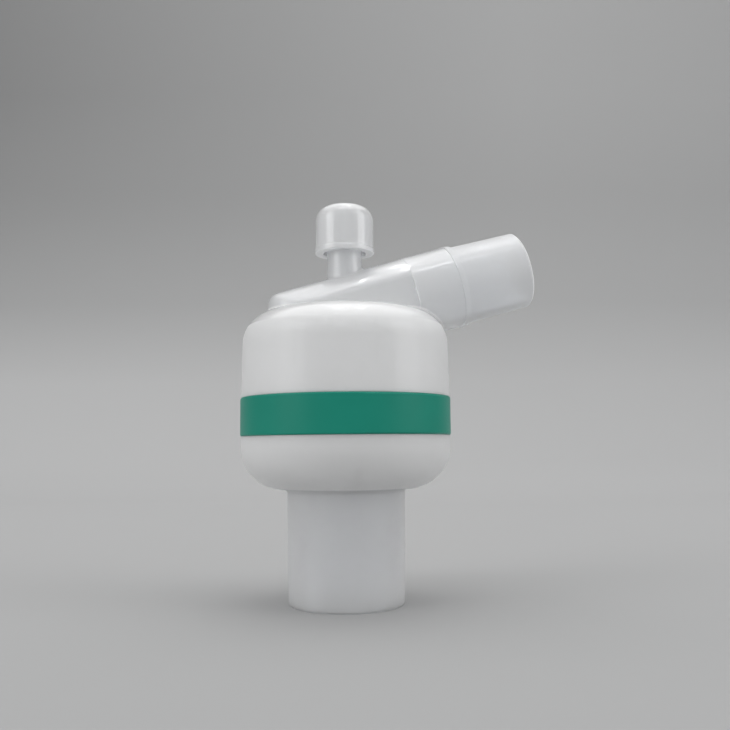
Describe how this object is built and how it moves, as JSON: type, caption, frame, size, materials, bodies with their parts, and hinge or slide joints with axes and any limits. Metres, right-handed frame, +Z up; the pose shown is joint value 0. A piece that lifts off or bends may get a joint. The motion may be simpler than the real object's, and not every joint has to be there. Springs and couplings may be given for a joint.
{
  "type": "breathing circuit filter",
  "caption": "Angled heat and moisture exchanging breathing filter: round clear body with a green joint ring, straight lower port, slanted upper port and capped sampling port.",
  "frame": {"origin": "centre of the lower port's mouth, on its end plane, where the part stands", "axes": "+Z up along the body axis; +X in the plan direction of the angled port; +Y completes the right-handed frame"},
  "size_m": [0.0577, 0.0404, 0.0768],
  "materials": {
    "clear_polypropylene": "glossy, milky and see-through",
    "green_ring": "satin",
    "cap_polypropylene": "glossy, milky and see-through",
    "white_fleece": "lofted fleece",
    "white_paper": "rolled paper",
    "soft_seal": "matte"
  },
  "bodies": {
    "housing": {"upper_housing": "clear_polypropylene", "lower_housing": "clear_polypropylene", "seal_ring": "green_ring", "filter_pad": "white_fleece", "hme_core": "white_paper"},
    "cap_disc": {"cap_seal": "soft_seal"},
    "cap": {"luer_cap": "cap_polypropylene"}
  },
  "joints": [
    {"name": "cap_lift", "type": "slide", "parent": "housing", "child": "cap_disc", "axis": [0, 0, 1], "range_m": [0, 0.00625]},
    {"name": "cap_turn", "type": "hinge", "parent": "cap_disc", "child": "cap", "pos_m": [0, 0, 0.0729], "axis": [0, 0, 1], "range_deg": [0, 450]}
  ],
  "couplings": [
    {"joint": "cap_turn", "follows": "cap_lift", "rad_per_m": 1256.6}
  ]
}
